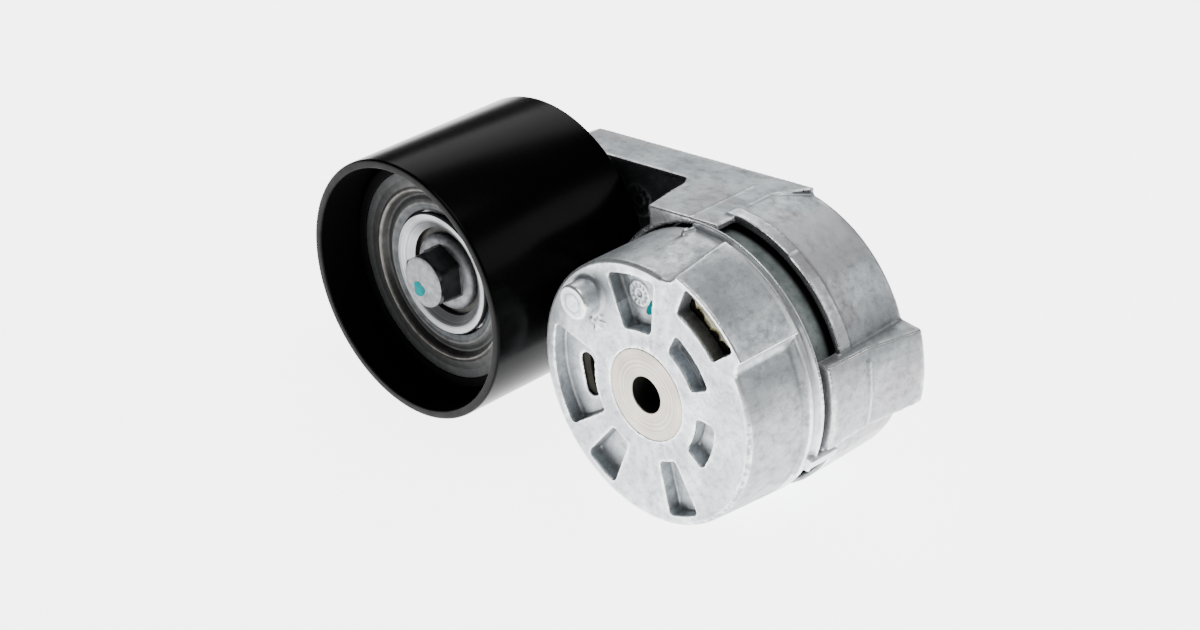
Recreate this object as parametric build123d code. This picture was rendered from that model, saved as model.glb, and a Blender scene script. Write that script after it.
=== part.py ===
from build123d import *
import math
import os

# Automatic belt tensioner with an idler pulley, in millimetres.
# The origin is on the arm's pivot axis, in the plane of the engine mounting face.
# +Y runs from that face back through the tensioner, -X points to the pulley, +Z is up.
# Angles are degrees anticlockwise from +X, seen from the mounting face.

# ---- driving dimensions ----
CENTRE_DISTANCE = 80.8
BOLT_HOLE_R = 5.25

BASE_FACE_R = 37.9
BASE_FACE_X = -0.7
BASE_FACE_Z = -0.2
BASE_REAR_R = 38.7
BASE_REAR_X = 0.5
BASE_REAR_Z = -0.3
FLANGE_R = 41.0
FLANGE_FRONT_Y = 21.0
FLANGE_REAR_Y = 24.9
FLANGE_ANGLES = (-24.0, 102.5)
RIM_FRONT_Y = 23.9
SCOOP_ANGLES = (82.0, 101.0)
BASE_FLOOR = 5.0
BASE_BORE_R = 34.2
PAD_R = 41.3
PAD_ANGLES = (38.5, 92.0)
POCKET_DEPTH = 4.2
BOSS_R = 19.5
BOSS_REAR_Y = 14.0
PIN_X = -22.2
PIN_Z = 20.8
PIN_R = 5.0
PIN_HEIGHT = 6.5

SHAFT_FLANGE_R = 13.2
SHAFT_R = 10.0
SHAFT_SPIGOT_R = 8.5
SHAFT_SHOULDER_Y = 57.5
SHAFT_REAR_Y = 61.0
BUSHING_R = 12.0
RUNNING_CLEARANCE = 0.04

SLEEVE_R = 36.6
SLEEVE_INNER_R = 35.0
SLEEVE_FRONT_Y = 17.5
SLEEVE_REAR_Y = 45.0

ARM_FRONT_Y = 26.4
RIM_Y = 33.5
PLATE_FRONT_Y = 46.0
ARM_REAR_Y = 59.8
CUP_RIM_R = 40.2
CUP_REAR_R = 39.8
TOP_HEIGHT = 40.2
ARM_TILT = 10.7
PLATE_CORNER_U = -72.6
PLATE_END_R = 20.5
HUB_R = 17.0
LIP_REAR_Y = 38.0
LUG_FRONT_R = 42.5
LUG_REAR_R = 46.2
LUG_TOP_Z = 16.1
LUG_ANGLE = -10.2
STOP_ANGLE = -14.5
STOP_WIDTH = 3.6
TRAVEL = 45.0
STOP_GAP = 0.45

SPRING_R = 29.5
SPRING_WIRE_R = 2.7
SPRING_TURNS = 6.0
SPRING_PITCH = 6.7
SPRING_FRONT_Y = 9.2
SPRING_FRONT_ANGLE = 50.0

PULLEY_R = 38.5
PULLEY_WALL = 2.5
PULLEY_FRONT_Y = -13.8
PULLEY_REAR_Y = 43.0
PULLEY_HUB_R = 34.0

BEARING_R = 31.0
BEARING_BORE_R = 12.5
BEARING_FRONT_Y = 4.6
BEARING_WIDTH = 17.0
BALL_COUNT = 7
BALL_R = 5.7
BALL_PITCH_R = 22.0
GROOVE_R = 5.78
INNER_LAND_R = 18.3
OUTER_LAND_R = 26.0

BOLT_R = 5.0
BOLT_AF = 15.0
BOLT_HEAD_FRONT_Y = -6.9
BOLT_FLANGE_R = 11.3
BOLT_SEAT_Y = 3.4
BOLT_REAR_Y = 43.0

# ---- worked-out dimensions ----
BEARING_REAR_Y = BEARING_FRONT_Y + BEARING_WIDTH
BEARING_MID_Y = BEARING_FRONT_Y + BEARING_WIDTH / 2
FAR_STOP_ANGLE = STOP_ANGLE - STOP_WIDTH - TRAVEL - 2 * STOP_GAP


# ---- helpers ----
def polar(radius, angle):
    """A point at a radius and an angle in degrees."""
    a = math.radians(angle)
    return (radius * math.cos(a), radius * math.sin(a))


def sector(inner_r, outer_r, start, end, corner=0.0):
    """Part of a ring between two radii and two angles, with rounded corners."""
    middle = (start + end) / 2
    outline = Curve() + [
        ThreePointArc(polar(inner_r, start), polar(inner_r, middle), polar(inner_r, end)),
        Line(polar(inner_r, end), polar(outer_r, end)),
        ThreePointArc(polar(outer_r, end), polar(outer_r, middle), polar(outer_r, start)),
        Line(polar(outer_r, start), polar(inner_r, start)),
    ]
    face = make_face(outline)
    if corner:
        face = fillet(face.vertices(), corner)
    return face


def polygon(*points, corner=0.0):
    """A closed outline through the points, with rounded corners."""
    face = make_face(Polyline(*points, close=True))
    if corner:
        face = fillet(face.vertices(), corner)
    return face


def along_y(outline, front_y, rear_y):
    """Raise an outline, drawn in X and Z, from front_y back to rear_y."""
    return Pos(0, front_y, 0) * extrude(Plane.XZ * outline, amount=front_y - rear_y)


def turned(*points):
    """A turned solid about the Y axis, from its (radius, y) outline."""
    return revolve(make_face(Polyline(*points, close=True)), Axis.Y)


def ring(inner_r, outer_r, front_y, rear_y):
    """A plain ring about the Y axis."""
    return turned((inner_r, front_y), (outer_r, front_y), (outer_r, rear_y), (inner_r, rear_y))


def disc(radius, front_y, rear_y):
    """A plain disc about the Y axis."""
    return turned((0, front_y), (radius, front_y), (radius, rear_y), (0, rear_y))


def at_pulley(shape):
    """Move a shape from the pivot axis to the pulley axis."""
    return Pos(-CENTRE_DISTANCE, 0, 0) * shape


def save(name, shape):
    """Write one sub-part as its own STEP file."""
    export_step(shape, os.path.join("parts", name + ".step"))


# ---- base: everything bolted to the engine ----
def base_shell():
    """The body of the spring housing, which leans a little off centre from front to rear."""
    edge = turned((0, 0), (BASE_FACE_R - 0.8, 0), (BASE_FACE_R, 0.8), (0, 0.8))
    front = Pos(BASE_FACE_X, 0.8, BASE_FACE_Z) * (Plane.XZ * Circle(BASE_FACE_R))
    rear = Pos(BASE_REAR_X, FLANGE_REAR_Y, BASE_REAR_Z) * (Plane.XZ * Circle(BASE_REAR_R))
    return Pos(BASE_FACE_X, 0, BASE_FACE_Z) * edge + loft([front, rear])


def rear_flange():
    """The flange over the upper and outer side: a shoulder, a shallow valley and a thin rim."""
    start, end = FLANGE_ANGLES
    profile = turned(
        (30.0, FLANGE_FRONT_Y - 3.0),
        (BASE_REAR_R - 0.9, FLANGE_FRONT_Y - 3.0),
        (FLANGE_R - 0.8, FLANGE_FRONT_Y - 0.9),
        (FLANGE_R - 0.8, FLANGE_FRONT_Y + 0.3),
        (FLANGE_R - 1.4, FLANGE_FRONT_Y + 1.2),
        (FLANGE_R - 1.4, RIM_FRONT_Y - 0.3),
        (FLANGE_R - 0.3, RIM_FRONT_Y),
        (FLANGE_R, RIM_FRONT_Y + 0.2),
        (FLANGE_R, FLANGE_REAR_Y - 0.3),
        (FLANGE_R - 0.3, FLANGE_REAR_Y),
        (30.0, FLANGE_REAR_Y),
    )
    return profile & along_y(sector(29.0, 44.0, start, end), 0, FLANGE_REAR_Y + 1)


def flange_scoop():
    """The hollow in front of the rim, between the spring pad and the flange's upper end."""
    start, end = SCOOP_ANGLES
    return along_y(sector(BASE_REAR_R + 0.1, 44.0, start, end), FLANGE_FRONT_Y - 4.0, RIM_FRONT_Y)


def base_hollow():
    """What is bored out of the housing from the rear, round the shaft boss."""
    chamber = ring(BOSS_R, BASE_BORE_R, BASE_FLOOR, FLANGE_REAR_Y + 1)
    over_boss = disc(BOSS_R + 0.01, BOSS_REAR_Y, FLANGE_REAR_Y + 1)
    sleeve_seat = disc(SLEEVE_R, SLEEVE_FRONT_Y, FLANGE_REAR_Y + 1)
    shaft_bore = disc(SHAFT_R, -1, BOSS_REAR_Y + 1)
    flange_seat = disc(SHAFT_FLANGE_R, -1, 4.0)
    return chamber + over_boss + sleeve_seat + shaft_bore + flange_seat


def spring_pad():
    """The raised sector over the spring's end, whose upper edge runs back at a slant."""
    start, end = PAD_ANGLES
    pad = along_y(sector(30.0, PAD_R, start, end), 0, FLANGE_FRONT_Y + 1)
    slant = polygon((8.2, -1), (4.2, FLANGE_REAR_Y), (-14, FLANGE_REAR_Y), (-14, -1))
    cutter = Pos(0, 0, 30) * extrude(slant, amount=20)
    return pad - cutter


def face_pockets():
    """The open pockets cast into the mounting face, as (inner, outer, start, end)."""
    outlines = (
        (18.8, 34.4, 89, 118),
        (19.4, 34.8, 170, 220.5),
        (19.4, 35.1, 235, 253.5),
        (19.2, 34.8, 288.5, 307),
        (18.2, 24.8, 330, 365),
        (18.2, 24.8, 29.5, 68),
    )
    pockets = Part()
    for inner_r, outer_r, start, end in outlines:
        pockets += along_y(sector(inner_r, outer_r, start, end, 1.2), -1, POCKET_DEPTH)
    return pockets


def locating_pin():
    """The cast pin that stops the tensioner turning on its bolt, with a ring on its tip."""
    tip = -PIN_HEIGHT
    pin = turned((0, tip), (PIN_R - 0.5, tip), (PIN_R, tip + 0.5), (PIN_R, -1.0),
                 (PIN_R + 1.0, 0), (PIN_R + 1.0, 1), (0, 1))
    pin -= ring(2.4, 3.0, tip - 1, tip + 0.25)
    return Pos(PIN_X, 0, PIN_Z) * pin


def stop_tab():
    """The tab behind the flange that the arm's lug rests on."""
    return along_y(sector(37.2, 42.0, STOP_ANGLE - STOP_GAP - STOP_WIDTH, STOP_ANGLE - STOP_GAP), 22, 32)


def base_housing():
    housing = base_shell() + rear_flange() - flange_scoop()
    housing += spring_pad() + stop_tab()
    housing -= base_hollow()
    housing -= face_pockets()
    housing -= along_y(sector(31.2, 40.0, 43.5, 73, 1.0), -1, 16)
    slot = Pos(*polar(26, 197)) * Rot(0, 0, 197 + 90) * SlotOverall(12.5, 5.0)
    housing -= along_y(slot, -1, BASE_FLOOR + 1)
    return housing + locating_pin()


def pivot_shaft():
    """The flanged hollow shaft: the mounting bolt goes through it, the arm turns on it."""
    return turned(
        (BOLT_HOLE_R, 0), (SHAFT_FLANGE_R - 0.3, 0), (SHAFT_FLANGE_R, 0.3), (SHAFT_FLANGE_R, 4.0),
        (SHAFT_R, 4.0), (SHAFT_R, SHAFT_SHOULDER_Y), (SHAFT_SPIGOT_R, SHAFT_SHOULDER_Y),
        (SHAFT_SPIGOT_R, SHAFT_REAR_Y - 0.5), (SHAFT_SPIGOT_R - 0.5, SHAFT_REAR_Y),
        (BOLT_HOLE_R, SHAFT_REAR_Y),
    )


def front_thrust_washer():
    return ring(SHAFT_R, 18.5, BOSS_REAR_Y, BOSS_REAR_Y + 1.6)


def end_washer():
    """The washer riveted on the shaft's rear end, which holds the arm on."""
    return turned((SHAFT_SPIGOT_R, SHAFT_SHOULDER_Y), (18.2, SHAFT_SHOULDER_Y),
                  (18.2, 59.4), (17.6, 60.0), (SHAFT_SPIGOT_R, 60.0))


def damping_sleeve():
    """The split plastic sleeve in the base, which the arm's cup rubs on."""
    return ring(SLEEVE_INNER_R, SLEEVE_R, SLEEVE_FRONT_Y, SLEEVE_REAR_Y)


def damper_band():
    """The spring-steel band that pushes the damping sleeve outwards."""
    band = along_y(sector(SLEEVE_INNER_R - 0.7, SLEEVE_INNER_R, -112, 232), SLEEVE_FRONT_Y + 1, SLEEVE_REAR_Y - 1)
    return band


def front_spring_seat():
    return ring(26.0, 33.4, BASE_FLOOR, BASE_FLOOR + 1.2)


def torsion_spring():
    """The round-wire spring, with an end turned out into the base and one into the arm."""
    height = SPRING_TURNS * SPRING_PITCH
    helix = Helix(SPRING_PITCH, height, SPRING_R)
    section = Plane(origin=helix @ 0, z_dir=helix % 0) * Circle(SPRING_WIRE_R)
    coil = sweep(section, path=helix, is_frenet=True)
    tang_length = 8.0
    for y in (0, height):
        tang = Plane(origin=(SPRING_R - 0.5, 0, y), z_dir=(1, 0, 0)) * Cylinder(
            SPRING_WIRE_R, tang_length if y == 0 else 3.6, align=(Align.CENTER, Align.CENTER, Align.MIN))
        coil += tang
    upright = Rot(-90, 0, 0) * coil
    return Pos(0, SPRING_FRONT_Y, 0) * Rot(0, -SPRING_FRONT_ANGLE, 0) * upright


# ---- arm: everything that swings on the pivot ----
def arm_cup():
    """The cup round the spring, with its hub, its rear wall and the washer's recess."""
    return turned(
        (0, RIM_Y), (CUP_RIM_R, RIM_Y), (CUP_REAR_R, ARM_REAR_Y - 1.3),
        (CUP_REAR_R - 0.4, ARM_REAR_Y - 0.4), (CUP_REAR_R - 1.3, ARM_REAR_Y), (0, ARM_REAR_Y),
    )


def arm_hollow():
    """What is bored out of the arm from the front and from the rear."""
    hollow = disc(38.6, ARM_FRONT_Y - 12, 41.0)
    hollow += disc(36.95, 40.0, 47.0)
    hollow += disc(34.8, 46.0, 53.8)
    hollow -= disc(HUB_R, BOSS_REAR_Y, ARM_REAR_Y)
    hollow += disc(BUSHING_R, BOSS_REAR_Y - 1, ARM_REAR_Y + 1)
    hollow += disc(19.0, 56.0, ARM_REAR_Y + 1)
    spring_slot = along_y(sector(30.0, 36.4, SPRING_FRONT_ANGLE - 7, SPRING_FRONT_ANGLE + 7), 45.5, 53.0)
    return hollow + spring_slot


def tilted(u, height):
    """A point at a distance along the arm's flat top and a height square to it."""
    e = math.radians(ARM_TILT)
    return (u * math.cos(e) - height * math.sin(e), u * math.sin(e) + height * math.cos(e))


def arm_plate():
    """The plate behind the pulley: a flat top, a sloping end and a round nose."""
    nose = Pos(-CENTRE_DISTANCE, 0) * Circle(PLATE_END_R)
    lean = math.degrees(math.asin((CUP_REAR_R - PLATE_END_R) / CENTRE_DISTANCE))
    slope_x, slope_z = polar(PLATE_END_R, 124)
    low_x, low_z = polar(PLATE_END_R, 270 - lean)
    web = polygon(
        tilted(0, TOP_HEIGHT),
        tilted(PLATE_CORNER_U, TOP_HEIGHT),
        (slope_x - CENTRE_DISTANCE, slope_z),
        (low_x - CENTRE_DISTANCE, low_z),
        polar(CUP_REAR_R, 270 - lean),
    )
    return along_y(nose + web, PLATE_FRONT_Y, ARM_REAR_Y)


def top_block():
    """The arm's flat top in plan: a notch beside the pulley, the window's corner, a rear corner."""
    plan = polygon(
        (-60.0, ARM_REAR_Y),
        (-60.0, PLATE_FRONT_Y),
        (-25.0, PLATE_FRONT_Y),
        (-23.3, PLATE_FRONT_Y - 2.4),
        (-20.5, ARM_FRONT_Y),
        (5.0, ARM_FRONT_Y),
        (5.0, RIM_Y),
        (3.0, RIM_Y + 0.5),
        (3.0, 50.0),
        (9.6, ARM_REAR_Y - 1.2),
        (9.6, ARM_REAR_Y),
    )
    block = Rot(0, -ARM_TILT, 0) * Pos(0, 0, 20) * extrude(plan, amount=TOP_HEIGHT - 20)
    return block - along_y(sector(20, 60, 21.0, 93.5), ARM_FRONT_Y - 1, RIM_Y)


def rim_skirt():
    """The rim's long hidden arc, which comes forward to the base between the stops."""
    return along_y(sector(37.3, CUP_RIM_R, 93.5, 360 + FAR_STOP_ANGLE), ARM_FRONT_Y, RIM_Y + 1)


def stop_lug():
    """The lug at the side of the cup: flat on top, bowed outside, reaching further at the rear."""
    bowed = turned(
        (36.0, ARM_FRONT_Y), (LUG_FRONT_R, ARM_FRONT_Y), (LUG_FRONT_R + 0.2, 41.0),
        (LUG_REAR_R, ARM_REAR_Y - 1.0), (LUG_REAR_R - 0.6, ARM_REAR_Y - 0.4), (36.0, ARM_REAR_Y - 0.4),
    )
    outline = polygon((35.5, -8.0), (50.0, -9.4), (50.0, LUG_TOP_Z), (32.0, LUG_TOP_Z))
    lug = bowed & along_y(outline, ARM_FRONT_Y, ARM_REAR_Y)
    underside = polygon((ARM_FRONT_Y - 1, -9.0), (ARM_REAR_Y + 1, -5.3), (ARM_REAR_Y + 1, -12), (ARM_FRONT_Y - 1, -12))
    lug -= extrude(Plane.YZ * underside, amount=60)
    foot = along_y(sector(37.3, 40.8, STOP_ANGLE, LUG_ANGLE + 2), ARM_FRONT_Y, RIM_Y + 1)
    return lug + foot


def rim_land():
    """The raised band behind the window, and the low lip that carries it on to the lug."""
    band = along_y(sector(37.5, CUP_RIM_R + 0.7, 66, 98), RIM_Y, LIP_REAR_Y)
    lip = along_y(sector(37.5, CUP_RIM_R + 0.25, 20, 67), RIM_Y, LIP_REAR_Y)
    return band + lip


def pulley_post():
    """The tapered post that carries the bearing on its bolt, with a blind tapped hole."""
    post = turned((0, BEARING_REAR_Y + 1.0), (14.5, BEARING_REAR_Y + 1.0), (17.0, PLATE_FRONT_Y - 2.5),
                  (19.5, PLATE_FRONT_Y), (19.5, PLATE_FRONT_Y + 1), (0, PLATE_FRONT_Y + 1))
    return at_pulley(post)


def rear_pockets():
    """Two lightening pockets in the arm's rear face, with a rib between them."""
    pockets = Part()
    for side in (1, -1):
        outline = polygon((-44.5, side * 3.0), (-44.5, side * 24.5), (-60.5, side * 21.0), (-60.5, side * 3.0),
                          corner=2.2)
        pockets += along_y(outline, ARM_REAR_Y - 8.5, ARM_REAR_Y + 1)
    return pockets


def tensioner_arm():
    arm = arm_cup() + arm_plate() + top_block()
    arm += rim_skirt() + rim_land() + stop_lug() + pulley_post()
    arm += disc(HUB_R, BOSS_REAR_Y + 1.9, RIM_Y + 1)
    arm -= arm_hollow()
    arm -= rear_pockets()
    arm -= at_pulley(disc(BOLT_R + 0.02, BEARING_REAR_Y, BOLT_REAR_Y + 2))
    return arm


def bushing(front_y, rear_y):
    """A plain bush pressed in the arm's hub."""
    return ring(SHAFT_R + RUNNING_CLEARANCE, BUSHING_R, front_y, rear_y)


def rear_thrust_washer():
    return ring(SHAFT_R + 0.1, 18.0, 56.0, SHAFT_SHOULDER_Y - 0.3)


def rear_spring_seat():
    return ring(26.0, 33.4, 52.6, 53.8)


def pulley_bolt():
    """The flanged hexagon bolt that clamps the bearing to the arm's post."""
    shank = disc(BOLT_R, BOLT_SEAT_Y - 1, BOLT_REAR_Y)
    flange = turned((0, 0.6), (8.2, 0.9), (BOLT_FLANGE_R, 2.0), (BOLT_FLANGE_R, BOLT_SEAT_Y), (0, BOLT_SEAT_Y))
    hexagon = Rot(0, 0, 39) * RegularPolygon(BOLT_AF / 2, 6, major_radius=False)
    head = along_y(hexagon, BOLT_HEAD_FRONT_Y, 1.5)
    head &= turned((0, BOLT_HEAD_FRONT_Y), (BOLT_AF / 2 - 0.3, BOLT_HEAD_FRONT_Y),
                   (BOLT_AF / 2 + 1.3, BOLT_HEAD_FRONT_Y + 0.8), (BOLT_AF / 2 + 1.3, 1.5), (0, 1.5))
    return at_pulley(head + flange + shank)


def bearing_clamp_cup():
    """The dished collar between the bolt and the bearing's inner ring."""
    return at_pulley(turned(
        (BOLT_R + 0.3, BOLT_SEAT_Y), (12.1, BOLT_SEAT_Y), (16.0, -0.3), (17.7, -0.3), (18.1, 0.1), (18.1, 1.6),
        (16.9, 2.4), (16.9, BEARING_FRONT_Y), (BOLT_R + 0.3, BEARING_FRONT_Y),
    ))


def bearing_sleeve():
    """The spacer that fills the inner ring's bore round the bolt."""
    return at_pulley(ring(BOLT_R + 0.3, BEARING_BORE_R, BEARING_FRONT_Y, BEARING_REAR_Y))


def ball_track():
    """The ring of space that the balls roll in."""
    return Pos(0, BEARING_MID_Y, 0) * Rot(90, 0, 0) * Torus(BALL_PITCH_R, GROOVE_R)


def bearing_inner_ring():
    return at_pulley(ring(BEARING_BORE_R, INNER_LAND_R, BEARING_FRONT_Y, BEARING_REAR_Y) - ball_track())


def rear_dust_shield():
    """The thin dished disc between the bearing and the post."""
    return at_pulley(turned(
        (BOLT_R + 0.3, BEARING_REAR_Y), (17.0, BEARING_REAR_Y), (19.0, BEARING_REAR_Y + 1.0),
        (28.4, BEARING_REAR_Y + 1.0), (28.4, BEARING_REAR_Y + 1.9), (18.6, BEARING_REAR_Y + 1.9),
        (16.7, BEARING_REAR_Y + 1.0), (BOLT_R + 0.3, BEARING_REAR_Y + 1.0),
    ))


# ---- pulley: everything that turns with the belt ----
def pulley_shell():
    """The smooth steel pulley: rim, web and the hub that holds the bearing."""
    inner_r = PULLEY_R - PULLEY_WALL
    return at_pulley(turned(
        (inner_r, PULLEY_FRONT_Y), (PULLEY_R - 0.7, PULLEY_FRONT_Y), (PULLEY_R, PULLEY_FRONT_Y + 0.7),
        (PULLEY_R, PULLEY_REAR_Y - 0.7), (PULLEY_R - 0.7, PULLEY_REAR_Y), (inner_r, PULLEY_REAR_Y),
        (inner_r, 14.0), (PULLEY_HUB_R, 13.0), (PULLEY_HUB_R, 23.9), (29.2, 23.9), (29.2, BEARING_REAR_Y),
        (BEARING_R, BEARING_REAR_Y), (BEARING_R, 4.5), (32.2, 4.5), (32.2, 3.2), (BEARING_R, 3.2),
        (BEARING_R, -1.3), (PULLEY_HUB_R, -1.3), (PULLEY_HUB_R, 3.0), (inner_r, 4.0),
    ))


def front_dust_cover():
    """The pressed cover with its raised ring and groove, a push fit in the hub."""
    return at_pulley(turned(
        (BEARING_R, -0.8), (30.7, -1.1), (29.9, -1.1), (27.2, -0.5), (26.3, -0.5), (25.9, -0.9), (25.5, -0.7),
        (24.4, 1.0), (22.2, 1.2), (21.6, 0.5), (19.2, 0.5), (18.7, 0.8), (18.7, 1.6), (21.2, 1.6), (21.8, 2.3),
        (24.8, 2.1), (26.4, 0.6), (27.2, 0.6), (29.9, 0.0), (29.9, 2.9), (BEARING_R, 2.9),
    ))


def bearing_retaining_ring():
    """The internal circlip in front of the bearing's outer ring."""
    return at_pulley(along_y(sector(28.2, 32.1, -72, 252), 3.25, 4.45))


def bearing_outer_ring():
    return at_pulley(ring(OUTER_LAND_R, BEARING_R, BEARING_FRONT_Y, BEARING_REAR_Y) - ball_track())


def bearing_seal(front_y):
    """A rubber-faced seal held in the outer ring, clear of the inner one."""
    return at_pulley(ring(INNER_LAND_R + 0.3, OUTER_LAND_R, front_y, front_y + 1.2))


# ---- balls and their cage, which roll at their own speed ----
def ball_places():
    """The place of each ball round the pivot axis, turned to face outwards."""
    step = 360 / BALL_COUNT
    return [Rot(0, (i + 0.5) * step, 0) * Pos(BALL_PITCH_R, BEARING_MID_Y, 0) for i in range(BALL_COUNT)]


def bearing_balls():
    return at_pulley(Compound(children=[place * Sphere(BALL_R) for place in ball_places()]))


def ball_cage():
    """A turned ring with a round pocket for each ball."""
    cage = ring(BALL_PITCH_R - 1.8, BALL_PITCH_R + 1.8, BEARING_MID_Y - 6.6, BEARING_MID_Y + 6.6)
    for place in ball_places():
        cage -= place * Rot(0, 90, 0) * Cylinder(BALL_R + 0.12, 12)
    return at_pulley(cage)


# ---- write every sub-part ----
os.makedirs("parts", exist_ok=True)
save("base_housing", base_housing())
save("pivot_shaft", pivot_shaft())
save("front_thrust_washer", front_thrust_washer())
save("damping_sleeve", damping_sleeve())
save("damper_band", damper_band())
save("front_spring_seat", front_spring_seat())
save("torsion_spring", torsion_spring())
save("end_washer", end_washer())
save("tensioner_arm", tensioner_arm())
save("front_bushing", bushing(BOSS_REAR_Y + 1.9, 33.0))
save("rear_bushing", bushing(37.0, 56.0))
save("rear_thrust_washer", rear_thrust_washer())
save("rear_spring_seat", rear_spring_seat())
save("pulley_bolt", pulley_bolt())
save("bearing_clamp_cup", bearing_clamp_cup())
save("bearing_sleeve", bearing_sleeve())
save("bearing_inner_ring", bearing_inner_ring())
save("rear_dust_shield", rear_dust_shield())
save("pulley_shell", pulley_shell())
save("front_dust_cover", front_dust_cover())
save("bearing_retaining_ring", bearing_retaining_ring())
save("bearing_outer_ring", bearing_outer_ring())
save("front_bearing_seal", bearing_seal(BEARING_FRONT_Y + 0.4))
save("rear_bearing_seal", bearing_seal(BEARING_REAR_Y - 1.6))
save("bearing_balls", bearing_balls())
save("ball_cage", ball_cage())
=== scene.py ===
import math

import bmesh
import bpy
import numpy as np
from mathutils import Matrix, Vector, noise


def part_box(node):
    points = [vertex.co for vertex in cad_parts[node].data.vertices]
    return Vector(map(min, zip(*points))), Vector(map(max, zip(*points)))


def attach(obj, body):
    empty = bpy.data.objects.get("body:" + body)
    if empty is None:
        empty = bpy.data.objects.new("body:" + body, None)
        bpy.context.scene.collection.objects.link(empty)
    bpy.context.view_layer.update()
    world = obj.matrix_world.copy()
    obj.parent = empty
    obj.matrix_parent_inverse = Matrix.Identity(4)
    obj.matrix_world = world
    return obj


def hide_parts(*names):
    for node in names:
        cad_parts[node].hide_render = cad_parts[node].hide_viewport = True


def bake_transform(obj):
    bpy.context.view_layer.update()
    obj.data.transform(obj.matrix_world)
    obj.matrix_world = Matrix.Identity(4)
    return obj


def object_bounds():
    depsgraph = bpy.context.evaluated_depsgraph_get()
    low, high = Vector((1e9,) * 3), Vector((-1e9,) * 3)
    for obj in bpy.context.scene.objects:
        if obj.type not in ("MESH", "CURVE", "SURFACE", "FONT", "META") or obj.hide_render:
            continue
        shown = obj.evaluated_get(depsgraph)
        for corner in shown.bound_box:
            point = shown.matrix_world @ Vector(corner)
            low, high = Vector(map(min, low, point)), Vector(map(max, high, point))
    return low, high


# An automatic belt tensioner: a cast spring housing, a cast arm that swings on it and a smooth
# idler pulley. +Y runs along both axes, away from the engine; the pulley is at -X; +Z is up.
# Profiles of turned pieces are (radius, y) points in millimetres, and MM turns them into metres.

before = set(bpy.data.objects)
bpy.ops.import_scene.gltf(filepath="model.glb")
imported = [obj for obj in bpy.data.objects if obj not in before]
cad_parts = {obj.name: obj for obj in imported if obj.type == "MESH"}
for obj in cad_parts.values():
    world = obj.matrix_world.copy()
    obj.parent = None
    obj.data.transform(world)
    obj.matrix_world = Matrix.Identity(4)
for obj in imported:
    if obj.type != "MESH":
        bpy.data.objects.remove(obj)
CAD_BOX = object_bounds()
MM = 0.001


# ---------------------------------------------------------------- places read from the frame
def box_mm(node):
    """The two corners of a node's box, in millimetres."""
    low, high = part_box(node)
    return [v / MM for v in low], [v / MM for v in high]


def y_span(node):
    """Front and rear of a node along Y, in millimetres."""
    low, high = box_mm(node)
    return low[1], high[1]


def radius_of(node):
    """The radius of a node that is round about Y, in millimetres."""
    low, high = box_mm(node)
    return (high[2] - low[2]) / 2


PULLEY_LOW, PULLEY_HIGH = box_mm("pulley_shell")
PULLEY_X = (PULLEY_LOW[0] + PULLEY_HIGH[0]) / 2
PULLEY_R = radius_of("pulley_shell")
FLOOR_Z = CAD_BOX[0][2]

# ---------------------------------------------------------------- places on the castings, in millimetres
# Pairs are (x, z). The drum's centre and radius drift evenly from its front to its rear.
PIN_CENTRE = (-22.2, 20.8)
PIN_FOOT_GRIME_AND_SHADE_CENTRE = (-21.5, 19.5)
POCKET_WALL_CENTRE = (-15.5, 26.0)
SLOT_CENTRE = (-24.9, -7.6)
DRUM_CENTRE = (-0.7, -0.2)
DRUM_DRIFT = (1.2, -0.1)
DRUM_R = 37.9
DRUM_GROWTH = 0.8
DRUM_REAR_Y = 24.9
DRUM_SIDE_R = 36.9
FLANGE_Y = 20.0
PAD_R = 41.2
PAD_TOP_X = 8.2
PAD_SLANT = 4.0 / 25.9
PAD_LOW_ANGLE = 38.5
WINDOW_R = 40.1
WINDOW_ANGLES = (45.0, 71.0)
COIL_R = 29.5
POCKET_FLOOR_Y = 4.2
PLATE_FRONT_Y = 46.0
ARM_TILT = math.radians(10.7)


# ---------------------------------------------------------------- mesh helpers
def link(mesh, name):
    """A new object of this mesh, in the scene."""
    obj = bpy.data.objects.new(name, mesh)
    bpy.context.scene.collection.objects.link(obj)
    return obj


def soften(mesh, angle=35.0):
    """Smooth shading, kept sharp where two faces meet at more than the angle."""
    bm = bmesh.new()
    bm.from_mesh(mesh)
    for face in bm.faces:
        face.smooth = True
    limit = math.radians(angle)
    for edge in bm.edges:
        edge.smooth = len(edge.link_faces) == 2 and edge.calc_face_angle(0.0) < limit
    bm.to_mesh(mesh)
    bm.free()


def rounded(points, radius, steps=5):
    """The closed outline through the points, with each corner turned into an arc."""
    out = []
    count = len(points)
    for i, corner in enumerate(points):
        c = Vector(corner[:2])
        a = Vector(points[i - 1][:2]) - c
        b = Vector(points[(i + 1) % count][:2]) - c
        r = corner[2] if len(corner) > 2 else radius
        turn = a.angle(b)
        if r <= 0 or turn > math.radians(176):
            out.append(tuple(c))
            continue
        reach = min(r / math.tan(turn / 2), 0.45 * a.length, 0.45 * b.length)
        start, end = c + a.normalized() * reach, c + b.normalized() * reach
        for k in range(steps + 1):
            t = k / steps
            out.append(tuple((1 - t) ** 2 * start + 2 * t * (1 - t) * c + t ** 2 * end))
    return out


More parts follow.
